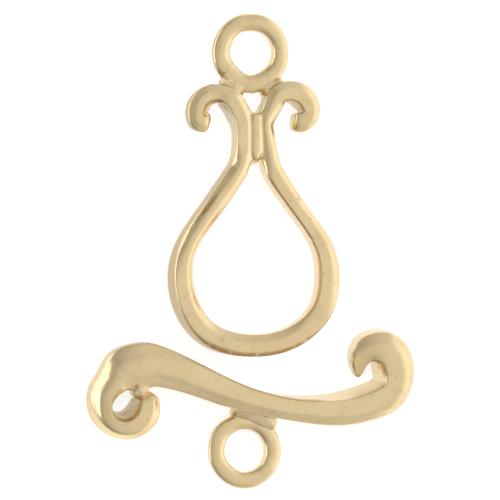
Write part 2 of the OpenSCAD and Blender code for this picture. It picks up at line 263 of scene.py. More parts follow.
# An edge of a kind below BRIGHT holds no patina, and it fades out over PATINA_FADE up to
# PATINA_GONE. Then come the corners of a side that hold it, for edges up to each kind, and how far
# each corner belongs to the wall
BRIGHT, PATINA_FADE, PATINA_GONE = -0.5, 0.2, 1.12
PATINA_SPREADS = [
    (0.35, (0, 0, 0, 0, 1, 0.45, 0)),
    (0.7, (0, 0, 0, 0.35, 1, 0.6, 0)),
    (math.inf, (0, 0, 0, 0, 0, 1, 0)),
]
WALL_SHARES = (1, 1, 1, 1, 0.6, 0, 0)

# Rings that close a wire's ends: rows in from the end, and share of the section. Creases and patina
# fade in over FADE_RINGS, and a corner isn't moved for less than SMALLEST_MOVE, in millimetres
END_RINGS = ((0.03, 0.42), (0.22, 0.8), (0.62, 0.985))
FADE_RINGS = 3
SMALLEST_MOVE = 0.004

# Rows before and after a point for a line's heading, how firmly a crease holds its corner, and a
# lattice's size as a share of its piece
NEARBY, CREASE_HOLD, LATTICE_MARGIN = 0.01, 1.2, 1.2

# Seams: their patina, and at LEVELS 2 the faces on each side and the rounds of smoothing
SEAM_PATINA, SEAM_BAND, SEAM_PASSES = 0.6, 3, 8

# Section of an eyelet, in the columns of SIDES: the bore's side and the outer side. Its depth is a
# share of its wire's width, and the height at which it is pushed about a share of its depth
BORE_SIDE = [(0.45, 0, 0), (0.8, 0.06, 0), (0.96, 0.22, 0), (1, 0.45, 0),
             (0.95, 0.67, 0), (0.74, 0.85, 0), (0.38, 0.965, 0)]
OUTER_SIDE = [(0.35, 0, 0), (0.62, 0.06, 0), (0.79, 0.28, 0), (0.94, 0.5, 0),
              (1, 0.69, 0.1), (0.81, 0.87, 0), (0.42, 0.965, 0)]
RING_DEEP, NUDGE_HEIGHT = 0.76, 0.8

# How an eyelet lies on its mount's centre: step right, step up, and its share of the mount's bore
# and thickness
LOOP_RING = (-0.09, 0.02, 0.97, 1.1)
BAR_RING = (0.08, 0.035, 0.95, 1.14)

# Dents and swellings of the eyelets: angle, share of the thickness from the bore, step outwards,
# step up, reach
LOOP_RING_NUDGES = [
    (97, 0.95, -0.1, -0.12, 0.45),
    (225, 0.05, -0.21, 0, 1.3),
    (270, 0.95, 0.06, 0, 0.8),
    (20, 0.05, 0.05, 0, 1.1),
    (180, 0.95, 0.04, 0, 1.2),
    (90, 0.05, -0.07, 0, 1),
    (135, 1, -0.02, 0, 1.2),
    (170, 0.05, -0.09, 0, 1.2),
    (300, 0.05, -0.1, 0, 1.3),
    (180, 0.5, 0, 0.03, 1),
    (0, 0.9, 0, -0.06, 1.4),
    (35, 0.9, 0.03, -0.05, 1.2),
]
BAR_RING_NUDGES = [
    (150, 0.95, 0.1, -0.06, 1),
    (190, 0.95, 0.05, 0, 1.2),
    (5, 0.95, 0.03, -0.05, 1.2),
    (230, 0.1, -0.07, 0, 1),
    (300, 0.9, 0, -0.08, 1.2),
    (340, 0.9, 0.02, -0.05, 1.1),
]


def side_of(edge):
    """Side of a section with a front edge between two kinds, and what the middle loses."""
    edge = min(len(SIDES) - 1, max(0, edge))
    kind = min(int(edge), len(SIDES) - 2)
    share = edge - kind
    (first, drop), (second, deeper) = SIDES[kind], SIDES[kind + 1]
    side = [mixed(a, b, share) for a, b in zip(first, second)]
    return side, drop + (deeper - drop) * share


def lowered(side, drop):
    """Front of a side brought down to meet the other side's drop."""
    return [
        (out, up - drop * (1 - out) ** FRONT_BEND * (up > FRONT_FROM), crease)
        for out, up, crease in side
    ]


def section(left, right):
    """Whole section: middle of the back, left side, middle of the front and right side."""
    (near, lost), (far, more) = side_of(left), side_of(right)
    near, far = lowered(near, more), lowered(far, lost)
    mirror = [(-out, up, crease) for out, up, crease in reversed(far)]
    return [(0, 0, 0)] + near + [(0, 1 - lost - more, 0)] + mirror


def marks(left, right):
    """For each corner of a section, how much patina its edge holds, and how far it is a wall's."""
    found = []
    for edge, order in ((left, 1), (right, -1)):
        patina = min(1, max(0, (PATINA_GONE - edge) / PATINA_FADE)) * (edge > BRIGHT)
        spread = next(shares for limit, shares in PATINA_SPREADS if edge <= limit)
        side = [(patina * share, wall) for share, wall in zip(spread, WALL_SHARES)]
        found.append(side[::order])
    return [(0, 1)] + found[0] + [(0, 0)] + found[1]


def mixed(a, b, share):
    """Numbers between two rows of numbers."""
    return tuple(p + (q - p) * share for p, q in zip(a, b))


def row_at(rows, i):
    """Row of a table, with its ends carried straight on."""
    if i < 0:
        return mixed(rows[1], rows[0], 2)
    if i >= len(rows):
        return mixed(rows[-2], rows[-1], 2)
    return rows[i]


def drawn(wanted, passes=6):
    """Rows moved so that a cubic line through them passes through the rows wanted."""
    rows = [tuple(row) for row in wanted]
    for _ in range(passes):
        settled = []
        for i, row in enumerate(rows):
            three = zip(row_at(rows, i - 1), row, row_at(rows, i + 1))
            settled.append(tuple((a + 4 * b + c) / 6 for a, b, c in three))
        rows = [tuple(r + w - s for r, w, s in zip(*three)) for three in zip(rows, wanted, settled)]
    return rows


def line_at(rows, t):
    """Point of the smooth line: t counts rows from the first."""
    i = min(int(t), len(rows) - 2)
    f = t - i
    near, far = 3 * f ** 3 - 6 * f * f + 4, -3 * f ** 3 + 3 * f * f + 3 * f + 1
    shares = ((1 - f) ** 3, near, far, f ** 3)
    four = [row_at(rows, i + k) for k in (-1, 0, 1, 2)]
    return tuple(sum(s * r[c] for s, r in zip(shares, four)) / 6 for c in range(len(rows[0])))


def closed_drawn(points, passes=8):
    """Corners of a cage whose smooth outline passes through the points. Creased corners stay."""
    cage = [(x, y) for x, y, _ in points]
    count = len(cage)
    for _ in range(passes):
        nearer = []
        for i, (x, y, crease) in enumerate(points):
            before, here, after = cage[i - 1], cage[i], cage[(i + 1) % count]
            ease = 1 - min(1, crease * CREASE_HOLD)
            pull = [((a + 4 * b + c) / 6 - b) * ease + b for a, b, c in zip(before, here, after)]
            nearer.append((here[0] + x - pull[0], here[1] + y - pull[1]))
        cage = nearer
    return cage


def stations(rows, first_round, last_round):
    """Rings of a wire, closing in at both ends. Each has its row, heading and share of the size."""
    last = len(rows) - 1
    found = [(t * first_round, share) for t, share in END_RINGS]
    found += [(t, 1) for t in range(1, last)]
    found += [(last - t * last_round, share) for t, share in reversed(END_RINGS)]
    rings = []
    for t, share in found:
        row = rows[t] if isinstance(t, int) else line_at(rows, t)
        ahead = line_at(rows, min(t + NEARBY, last))
        behind = line_at(rows, max(t - NEARBY, 0))
        heading = math.atan2(ahead[1] - behind[1], ahead[0] - behind[0])
        rings.append((row, heading, share))
    return rings


def deselect():
    bpy.ops.object.select_all(action="DESELECT")


def activate(piece):
    """Select one piece alone and make it the active one."""
    deselect()
    piece.select_set(True)
    bpy.context.view_layer.objects.active = piece


def choose(piece, test):
    """Select, in edit mode, only the corners that pass the test."""
    bpy.ops.mesh.select_mode(type="VERT")
    cage = bmesh.from_edit_mesh(piece.data)
    for part in (*cage.faces, *cage.edges):
        part.select = False
    for corner in cage.verts:
        corner.select = test(corner)
    cage.select_flush(True)
    bmesh.update_edit_mesh(piece.data)


def cage_section(row):
    """Corners of the cage's section at a row, in shares of half the width and of the depth."""
    outline = section(row[LEFT], row[RIGHT])
    return closed_drawn(outline), outline


def started(name, corners):
    """Face with a section's corners, across the X axis, in edit mode. Its layers count its corners
    and rings, and mark patina, walls and solder."""
    deselect()
    bpy.ops.mesh.primitive_circle_add(
        vertices=len(corners), radius=1, fill_type="NGON", location=(0, 0, 0))
    piece = bpy.context.object
    piece.name = name
    bpy.ops.object.mode_set(mode="EDIT")
    cage = bmesh.from_edit_mesh(piece.data)
    around = cage.verts.layers.int.new("around")
    cage.verts.layers.int.new("along")
    for mark in ("rim", "wall", "solder"):
        cage.verts.layers.float.new(mark)
    for i, corner in enumerate(cage.verts):
        corner[around] = i
    for i, (out, up) in enumerate(corners):
        move(piece, i, None, lambda here: Vector((0, out, up)) - here)
    choose(piece, lambda corner: True)
    return piece


def move(piece, number, ring, step):
    """Move one corner of the section, on one ring or on a cage that has no rings yet."""
    cage = bmesh.from_edit_mesh(piece.data)
    around, along = cage.verts.layers.int["around"], cage.verts.layers.int["along"]
    choose(piece, lambda corner: corner[around] == number and ring in (None, corner[along]))
    here = next(c.co.copy() for c in bmesh.from_edit_mesh(piece.data).verts if c.select)
    bpy.ops.transform.translate(value=step(here))


def wire(name, rows, first_round=0.9, last_round=0.9):
    """Cage of a wire: its section is extruded from ring to ring, turned and resized at each, and
    then each ring's corners are moved to its own edges and flare."""
    rings = stations(drawn(rows), first_round, last_round)
    base, _ = cage_section(rings[len(rings) // 2][0])
    piece = started(name, base)
    place, turn, size = Vector(), 0.0, (1.0, 1.0)
    shapes = []
    for number, (row, heading, share) in enumerate(rings):
        bend = bend_of(rings, number)
        width, depth = row[WIDE] / 2 * share * bend, row[DEEP] * share
        lift = max(0, row[LIFT]) + row[DEEP] * (1 - share) / 2
        here = Vector((row[AT_X], row[AT_Y], lift))
        if number:
            bpy.ops.mesh.extrude_region_move(TRANSFORM_OT_translate={"value": here - place})
            cage = bmesh.from_edit_mesh(piece.data)
            along = cage.verts.layers.int["along"]
            for corner in cage.verts:
                if corner.select:
                    corner[along] = number
        else:
            bpy.ops.transform.translate(value=here)
        bpy.ops.transform.rotate(value=turn - heading, orient_axis="Z", center_override=here)
        ahead = Vector((math.cos(heading), math.sin(heading), 0))
        left = Vector((-ahead.y, ahead.x, 0))
        axes = Matrix((ahead, left, Vector((0, 0, 1)))).transposed()
        bpy.ops.transform.resize(
            value=(1, width / size[0], depth / size[1]), orient_type="GLOBAL",
            orient_matrix=axes, orient_matrix_type="GLOBAL", center_override=here)
        shapes.append((row, left, width, depth))
        place, turn, size = here, heading, (width, depth)
    marked = []
    for number, (row, left, width, depth) in enumerate(shapes):
        corners, outline = cage_section(row)
        edges = marks(row[LEFT], row[RIGHT])
        marked.append([(crease, *mark) for (_, _, crease), mark in zip(outline, edges)])
        for i, ((out, up), (was_out, was_up)) in enumerate(zip(corners, base)):
            lean = row[FLARE_LEFT if out > 0 else FLARE_RIGHT] * (1 - up)
            across = left * (out * (1 + lean) - was_out) * width
            step = across + Vector((0, 0, (up - was_up) * depth))
            if step.length > SMALLEST_MOVE:
                move(piece, i, number, lambda here: step)
    bpy.ops.mesh.select_all(action="SELECT")
    bpy.ops.mesh.normals_make_consistent(inside=False)
    mark_edges(piece, marked)
    bpy.ops.object.mode_set(mode="OBJECT")
    return piece


def widened(turn):
    """How much larger a cage is than its smooth skin where it turns so far from ring to ring."""
    return 6 / (4 + 2 * math.cos(turn))


def bend_of(rings, number):
    """How much wider the cage is where the wire bends, so that its smooth skin keeps its width."""
    if number in (0, len(rings) - 1):
        return 1
    turn = rings[number + 1][1] - rings[number - 1][1]
    turn = (turn + math.pi) % (2 * math.pi) - math.pi
    return widened(turn / 2)


def mark_edges(piece, marked):
    """Crease the crisp edges along a wire, and mark its walls and the edges that hold patina."""
    cage = bmesh.from_edit_mesh(piece.data)
    around, along = cage.verts.layers.int["around"], cage.verts.layers.int["along"]
    rim, wall = cage.verts.layers.float["rim"], cage.verts.layers.float["wall"]
    creases = cage.edges.layers.float
    sharp = creases.get("crease_edge") or creases.new("crease_edge")
    last = len(marked) - 1

    def ending(corner):
        return min(1, corner[along] / FADE_RINGS, (last - corner[along]) / FADE_RINGS)

    for corner in cage.verts:
        _, patina, side = marked[corner[along]][corner[around]]
        corner[rim] = patina * ending(corner)
        corner[wall] = side
    for edge in cage.edges:
        a, b = edge.verts
        if a[around] == b[around]:
            crease = (marked[a[along]][a[around]][0] + marked[b[along]][b[around]][0]) / 2
            edge[sharp] = crease * ending(a)
    bmesh.update_edit_mesh(piece.data)


def modified(piece, kind, **settings):
    """Add a modifier with its settings, and apply it."""
    activate(piece)
    bpy.ops.object.modifier_add(type=kind)
    modifier = piece.modifiers[-1]
    for name, setting in settings.items():
        setattr(modifier, name, setting)
    bpy.ops.object.modifier_apply(modifier=modifier.name)
    return piece


def smoothed(piece):
    """Subdivision surface, applied."""
    return modified(piece, "SUBSURF", levels=LEVELS, render_levels=LEVELS)


def sheared(piece, lean, height):
    """Lean the piece's top towards -Y with a lattice, so far for each unit of height."""
    spots = [corner.co for corner in piece.data.vertices]
    low, high = (Vector([pick(spot[k] for spot in spots) for k in range(3)]) for pick in (min, max))
    deselect()
    size = high - low
    middle = (low + high) / 2
    middle.z = height / 2
    bpy.ops.object.add(type="LATTICE", location=middle)
    block = bpy.context.object
    block.scale = (size.x * LATTICE_MARGIN, size.y * LATTICE_MARGIN, height)
    for axis in "uvw":
        setattr(block.data, "points_" + axis, 2)
        setattr(block.data, "interpolation_type_" + axis, "KEY_LINEAR")
    for point in block.data.points:
        if point.co.z > 0:
            point.co_deform.y -= lean * height / block.scale.y
    modified(piece, "LATTICE", object=block)
    bpy.data.objects.remove(block)
    return piece


def solder(name, rows):
    """Run of solder: a short soft wire that is marked as solder all over."""
    piece = smoothed(wire(name, rows))
    mark = piece.data.attributes["solder"].data
    mark.foreach_set("value", [1.0] * len(mark))
    return piece


def soldered(pieces, clean=-1):
    """Join the pieces as one solid and smooth the seams, as solder fills them. Patina marks the
    seams, but not those of the piece whose number is clean."""
    for number, one in enumerate(pieces):
        mark = one.data.attributes.new("part", "INT", "FACE")
        mark.data.foreach_set("value", [number] * len(one.data.polygons))
    piece = pieces[0]
    for other in pieces[1:]:
        modified(piece, "BOOLEAN", operation="UNION", solver="MANIFOLD", object=other)
        bpy.data.objects.remove(other)
    activate(piece)
    bpy.ops.object.mode_set(mode="EDIT")
    part = bmesh.from_edit_mesh(piece.data).faces.layers.int["part"]
    choose(piece, lambda corner: len({face[part] for face in corner.link_faces}) > 1)
    cage = bmesh.from_edit_mesh(piece.data)
    rim, part = cage.verts.layers.float["rim"], cage.faces.layers.int["part"]
    for corner in cage.verts:
        if corner.select:
            touching = {face[part] for face in corner.link_faces}
            corner[rim] = SEAM_PATINA * (clean not in touching)
    bmesh.update_edit_mesh(piece.data)
    finer = LEVELS - 2
    for _ in range(SEAM_BAND * 2 ** finer):
        bpy.ops.mesh.select_more()
    bpy.ops.mesh.vertices_smooth(factor=0.5, repeat=SEAM_PASSES * 4 ** finer)
    bpy.ops.object.mode_set(mode="OBJECT")


def eyelet(name, centre, bore, thickness, lie, nudges):
    """Ring whose section is spun round its middle, then pushed about at a few listed places."""
    step_right, step_up, bore_share, thickness_share = lie
    centre = centre + Vector((step_right, step_up, 0))
    bore, thickness = bore * bore_share, thickness * thickness_share
    outer = [(-out, up, crease) for out, up, crease in reversed(OUTER_SIDE)]
    corners = closed_drawn([(0, 0, 0)] + BORE_SIDE + [(0, 1, 0)] + outer)
    piece = started(name, corners)
    cage = bmesh.from_edit_mesh(piece.data)
    wall = cage.verts.layers.float["wall"]
    for corner, (_, up) in zip(cage.verts, corners):
        corner[wall] = up < FRONT_FROM
    middle = (bore + thickness) / 2 * widened(2 * math.pi / RING_STEPS)
    depth = thickness * RING_DEEP
    bpy.ops.transform.resize(value=(1, thickness / 2, depth), center_override=(0, 0, 0))
    bpy.ops.transform.translate(value=(centre.x, centre.y - middle, 0))
    bpy.ops.mesh.spin(
        steps=RING_STEPS, angle=2 * math.pi, center=(centre.x, centre.y, 0), axis=(0, 0, 1))
    bpy.ops.mesh.select_all(action="SELECT")
    bpy.ops.mesh.remove_doubles(threshold=0.001)
    bpy.ops.mesh.select_mode(type="FACE")
    cage = bmesh.from_edit_mesh(piece.data)
    for face in cage.faces:
        face.select = len(face.verts) == len(corners)
    bmesh.update_edit_mesh(piece.data)
    bpy.ops.mesh.delete(type="ONLY_FACE")
    for angle, share, out, up, reach in nudges:
        x, y = polar(centre, bore / 2 + thickness * share, angle)
        step = Vector((*polar((0, 0), out, angle), up))
        push(piece, Vector((x, y, depth * NUDGE_HEIGHT)), step, reach)
    bpy.ops.mesh.select_all(action="SELECT")
    bpy.ops.mesh.normals_make_consistent(inside=False)
    bpy.ops.object.mode_set(mode="OBJECT")
    return smoothed(piece)


def push(piece, spot, step, reach):
    """Push the corner nearest to a spot, and what lies within reach of it less and less."""
    cage = bmesh.from_edit_mesh(piece.data)
    near = min(cage.verts, key=lambda corner: (corner.co - spot).length).index
    choose(piece, lambda corner: corner.index == near)
    bpy.ops.transform.translate(
        value=step, use_proportional_edit=True, proportional_size=reach,
        proportional_edit_falloff="SMOOTH")


def polar(at, radius, angle):
    """Point at a distance and an angle in degrees from another."""
    turn = math.radians(angle)
    return at[0] + radius * math.cos(turn), at[1] + radius * math.sin(turn)


def body(row, width, depth):
    """Width, depth and lift of a row, whose table gives them as shares."""
    return row[WIDE] * width, row[DEEP] * depth, row[LIFT] * depth


def web_row(row, eye, outer, thick, depth, side=1):
    """Row of the solder round an eyelet, from its row in the tables. Side -1 mirrors it."""
    x, y = polar((0, eye.y), row[1] * outer, row[0])
    return eye.x + side * x, y, *body(row, thick, depth), 0, 0, *SOLDER_EDGES


def length(**facts):
    """Length that a maker would change."""
    return bpy.props.FloatProperty(unit="LENGTH", **facts)


def colour(**facts):
    """Colour that a maker would change."""
    return bpy.props.FloatVectorProperty(subtype="COLOR", size=3, min=0, max=1, **facts)


class ClaspSizes(bpy.types.PropertyGroup):
    """Sizes of the clasp that a maker would change."""

    wire_width: length(name="Wire width", description="Width of the loop's wire", default=1.3 * MM)
    neck_width: length(
        name="Neck strand width", description="Width of each strand along the neck",
        default=1.21 * MM)
    strand_gap: length(
        name="Strand gap", description="Gap between the neck's two strands, which solder fills",
        default=0.02 * MM)
    pear_length: length(
        name="Pear length", description="From the pear's foot to the crotch", default=12.25 * MM)
    neck_length: length(name="Neck length", description="Length of the neck", default=3.05 * MM)
    horn_span: length(name="Horn span", description="Width across the two horns", default=8.7 * MM)
    horn_rise: length(
        name="Horn rise", description="Height of the horns over the neck", default=1.78 * MM)
    scroll_span: length(
        name="Scroll span", description="Between the eyes of the two scrolls", default=16.3 * MM)
    scroll_step: length(
        name="Scroll step", description="Height of the right eye over the left", default=2.06 * MM)
    bar_fall: length(
        name="Bar fall", description="From the bar's shoulder to its lowest stretch",
        default=2.85 * MM)
    bar_width: length(
        name="Bar width", description="Width of the bar at its waist", default=1.5 * MM)
    bar_depth: length(
        name="Bar depth", description="Depth of the bar at its waist", default=1.95 * MM)
    left_eye: length(
        name="Left eye radius", description="Radius of the left scroll's eye", default=0.85 * MM)
    right_eye: length(
        name="Right eye radius", description="Radius of the right scroll's eye", default=0.7 * MM)
    seat_gap: length(
        name="Seat gap", description="Between the bar and its eyelet", default=0.36 * MM)
    bar_lean: bpy.props.FloatProperty(
        name="Bar lean", description="Lean of the bar's front for each unit of depth", default=0.17)


class ClaspFinish(bpy.types.PropertyGroup):
    """Colours and gloss of the gold."""

    gold: colour(name="Gold", description="Colour of the polished plate", default=(0.87, 0.69, 0.4))
    deep: colour(
        name="Deep gold", description="Colour where the plate is thicker",
        default=(0.83, 0.65, 0.36))
    # Satin gold: pale speckle of the solder, and a painted reflection of the floor on the walls on
    # the right, which are less polished
    solder_and_sheen: colour(
        name="Satin gold", description="Colour of the walls, which are less polished",
        default=(0.88, 0.76, 0.56))
    raw: colour(
        name="Raw casting", description="Colour of the unpolished hollows",
        default=(0.82, 0.77, 0.64))
    # Dull gold: random smudges and grit, and painted shade on the walls on the left, strongest on
    # the loop
    dull_and_shade: colour(
        name="Dull gold", description="Colour of the walls on the left, where the plate is darker",
        default=(0.5, 0.38, 0.22))
    shade: colour(
        name="Patina", description="Colour left in the joints and recesses",
        default=(0.5, 0.29, 0.09))
    gloss: bpy.props.FloatProperty(
        name="Roughness", description="Roughness of the polished faces", default=0.13, min=0, max=1)


class StudioLight(bpy.types.PropertyGroup):
    """Light and floor of the plain studio."""

    tilt: bpy.props.FloatProperty(
        name="Camera tilt", description="Lean of the view from straight above, towards the left",
        default=math.radians(18), subtype="ANGLE")
    width: length(name="View width", description="Width that the view takes in", default=31.25 * MM)
    distance: length(
        name="Camera distance", description="From the camera to the floor", default=0.6)
    floor: colour(name="Floor", description="Colour of the floor", default=(0.5, 0.5, 0.5))
    table: bpy.props.FloatProperty(
        name="Table light", description="Light that comes up through the floor",
        default=0.72, min=0)


# Spots of patina left by the casting and the soldering: place and reach in millimetres, and
# strength
PATINA_SPOTS = [
    ((0.25, 5.55, 1.3), 0.35, 0.6),
    ((0.3, 6.2, 1.45), 0.2, 0.35),
    ((0.18, 7.3, 1.45), 0.16, 0.4),
    ((-1.87, 11.14, 0.7), 0.35, 0.9),
    ((-1.2, 10.4, 0.9), 0.3, 0.6),
    ((-0.56, 9.75, 0.8), 0.35, 0.9),
    ((0.82, 9.95, 0.8), 0.35, 0.8),
    ((1.75, 10.6, 0.8), 0.3, 0.6),
    ((-1.77, 8.98, 1), 0.3, 0.8),
    ((2.8, 7.83, 0.9), 0.4, 0.7),
    ((-7.68, -8.37, 1.6), 0.26, 0.9),
    ((8.3, -7.2, 1.5), 0.3, 0.8),
    ((8, -8.05, 0.6), 0.25, 0.6),
    ((-8.3, -10.2, 0.8), 0.4, 0.6),
    ((-1.14, -10.1, 0.9), 0.35, 0.9),
    ((1.38, -10.9, 0.7), 0.35, 0.8),
    ((0.9, -10.4, 0.9), 0.3, 0.6),
    ((-2.16, -5.45, 1.5), 0.28, 0.5),
    ((2.37, 3.14, 1.5), 0.13, 0.7),
    ((2.9, 3.27, 1.5), 0.13, 0.7),
    ((3.69, 2.02, 1.5), 0.13, 0.6),
]

# Hollows where the casting was never polished: place and reach in millimetres. SPOT_CORE is the
# share of its reach over which a spot is full
ROUGH_SPOTS = [
    ((-8.1, -9.6, 0.6), 1.5),
    ((6.85, -7.3, 0.8), 1.4),
    ((-1.5, 8.5, 0.5), 1.3),
    ((2.65, 8.8, 0.6), 1.2),
    ((0.45, 9.3, 0.5), 1.1),
]
SPOT_CORE = 0.3

# Between these x in millimetres the walls turn from a painted reflection of the floor to painted
# shade, and between these y the painted shade turns from the bar's to the loop's, which is darker
SHEEN_TO_SHADE_X = (-0.4, -2)
LOOP_SHADE_Y = (-6.6, -5.8)


class Value:
    """Number on a board, written with plain maths."""

    def __init__(self, board, socket):
        self.board, self.socket = board, socket

    def made(self, operation, *inputs):
        node = self.board.node("ShaderNodeMath", {"operation": operation}, dict(enumerate(inputs)))
        return Value(self.board, node.outputs[0])

    def __add__(self, other):
        return self.made("ADD", self, other)

    def __sub__(self, other):
        return self.made("SUBTRACT", self, other)

    def __rsub__(self, other):
        return self.made("SUBTRACT", other, self)

    def __mul__(self, other):
        return self.made("MULTIPLY", self, other)

    __radd__, __rmul__ = __add__, __mul__

    def most(self, other):
        return self.made("MAXIMUM", self, other)


class Board:
    """Nodes of a material or of the world."""

    def __init__(self, owner):
        owner.use_nodes = True
        self.tree = owner.node_tree

    def node(self, kind, settings, inputs):
        """Node of a kind, with its settings first and then what its sockets hold or link to."""
        node = self.tree.nodes.new(kind)
        for name, setting in settings.items():
            setattr(node, name, setting)
        for name, held in inputs.items():
            self.put(node.inputs[name], held)
        return node

    def put(self, socket, held):
        """Set a socket to a value, or link it to what makes one."""
        if isinstance(held, Value):
            held = held.socket
        if isinstance(held, bpy.types.NodeSocket):
            self.tree.links.new(held, socket)
        else:
            socket.default_value = held

    def smooth(self, value, low, high):
        """0 below low and 1 above high, or the other way round, with a smooth step between."""
        settings = {"interpolation_type": "SMOOTHSTEP"}
        inputs = {"Value": value, "From Min": low, "From Max": high}
        return Value(self, self.node("ShaderNodeMapRange", settings, inputs).outputs["Result"])

    def noise(self, place, scale, detail=2.0, roughness=0.5):
        inputs = {"Vector": place, "Scale": scale, "Detail": detail, "Roughness": roughness}
        return Value(self, self.node("ShaderNodeTexNoise", {}, inputs).outputs["Fac"])

    def spots(self, place, found):
        """1 in the middle of each spot and 0 at its reach, times its strength."""
        mask = 0
        for spot, reach, strength in found:
            away = self.node("ShaderNodeVectorMath", {"operation": "DISTANCE"}, {0: place, 1: spot})
            near = self.smooth(away.outputs["Value"], reach, reach * SPOT_CORE) * strength
            mask = near.most(mask)
        return mask

    def mixed(self, share, first, second):
        """Colour between two colours."""
        node = self.node("ShaderNodeMix", {"data_type": "RGBA"}, {0: share, 6: first, 7: second})
        return node.outputs[2]

    def split(self, vector):
        node = self.node("ShaderNodeSeparateXYZ", {}, {0: vector})
        return [Value(self, output) for output in node.outputs]


def gold_material(finish):
    """Polished pale gold plate over a casting: faint waves and pits, and patina along edges and in
    the joints."""
    paint = bpy.data.materials.new("clasp_gold")
    board = Board(paint)
    shader = board.tree.nodes["Principled BSDF"]
    colours = finish.gold, finish.deep, finish.solder_and_sheen, finish.raw, finish.dull_and_shade, finish.shade
    gold, deep, solder_and_sheen, raw, dull_and_shade, patina = ((*shade, 1) for shade in colours)
    place = board.node("ShaderNodeTexCoord", {}, {}).outputs["Object"]
    inputs = {0: place, "Scale": 1 / MM}
    place = board.node("ShaderNodeVectorMath", {"operation": "SCALE"}, inputs).outputs[0]

    def marked(name):
        return board.node("ShaderNodeAttribute", {"attribute_name": name}, {}).outputs["Fac"]

    soldered = board.smooth(marked("solder"), 0.3, 0.8)

    # Waves, clouds and grain of the casting, and pits in some of its cells
    broad = board.noise(place, scale=0.45)
    cloudy = board.noise(place, scale=2.2, detail=3)
    grain = board.noise(place, scale=14, detail=3, roughness=0.6)
    cells = board.node("ShaderNodeTexVoronoi", {}, {"Vector": place, "Scale": 2.4})
    pit = board.smooth(cells.outputs["Distance"], 0.17, 0.08)
    chosen = board.split(cells.outputs["Color"])[0]
    pit = pit * board.smooth(chosen, 0.72, 0.9) * board.smooth(broad, 0.4, 0.6)

    # Face, with smudges
    tone = board.mixed(board.smooth(broad, 0.35, 0.65), gold, deep)
    tone = board.mixed(board.smooth(cloudy, 0.45, 0.75) * 0.3, tone, deep)
    wall = board.smooth(marked("wall"), 0.35, 0.75)
    x, y, _ = board.split(place)
    smudge = board.smooth(board.noise(place, scale=1.1, detail=4, roughness=0.65), 0.5, 0.72)
    tone = board.mixed(smudge * 0.22, tone, dull_and_shade)

    # Walls: painted reflection of the bright floor on the right, and painted shade on the left
    shade_side = board.smooth(x, *SHEEN_TO_SHADE_X)
    loop_shade = board.smooth(y, *LOOP_SHADE_Y)
    tone = board.mixed(wall * 0.5 * (1 - shade_side), tone, solder_and_sheen)
    tone = board.mixed(wall * shade_side * (0.25 + 0.55 * loop_shade), tone, dull_and_shade)

    # Solder and the rough hollows
    speckle = board.smooth(board.noise(place, scale=7, detail=3, roughness=0.7), 0.42, 0.58)
    tone = board.mixed(soldered * speckle * 0.5, tone, solder_and_sheen)
    rough = board.spots(place, [(spot, reach, 1) for spot, reach in ROUGH_SPOTS]) * wall
    grit = board.smooth(board.noise(place, scale=6, detail=3, roughness=0.7), 0.3, 0.52)
    tone = board.mixed(rough * 0.85, tone, board.mixed(grit, dull_and_shade, raw))

    # Patina along the edges, in the pits and in spots
    line = board.smooth(marked("rim"), 0.3, 0.8) * board.smooth(cloudy, 0.2, 0.5)
    patches = board.noise(place, scale=3.5, detail=3, roughness=0.6)
    spots = board.spots(place, PATINA_SPOTS) * board.smooth(patches, 0.35, 0.55)
    tone = board.mixed((line * 0.9).most(pit * 0.8).most(spots), tone, patina)

    board.put(shader.inputs["Base Color"], tone)
    worn = finish.gloss + 0.1 * cloudy * cloudy + 0.05 * grain
    board.put(shader.inputs["Roughness"], worn + 0.25 * pit + 0.15 * wall + 0.2 * rough)
    height = 0.5 * broad + 0.2 * cloudy + 0.05 * grain - 0.3 * pit
    height = height + 0.2 * speckle * soldered.most(rough)
    inputs = {"Strength": 0.7, "Distance": 0.1 * MM, "Height": height}
    bump = board.node("ShaderNodeBump", {}, inputs)
    board.put(shader.inputs["Normal"], bump.outputs[0])
    shader.inputs["Metallic"].default_value = 1


def finished(piece, node):
    """Bring a piece from millimetres to its real size, gild it and put it in place of its node."""
    activate(piece)
    bpy.ops.object.mode_set(mode="EDIT")
    bpy.ops.mesh.select_all(action="SELECT")
    bpy.ops.transform.resize(value=(MM, MM, MM), center_override=(0, 0, 0))
    bpy.ops.object.mode_set(mode="OBJECT")
    piece.data.materials.clear()
    piece.data.materials.append(bpy.data.materials["clasp_gold"])
    activate(piece)
    bpy.ops.object.shade_smooth_by_angle(angle=SMOOTH_ANGLE)
    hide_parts(node)
    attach(piece, "root")


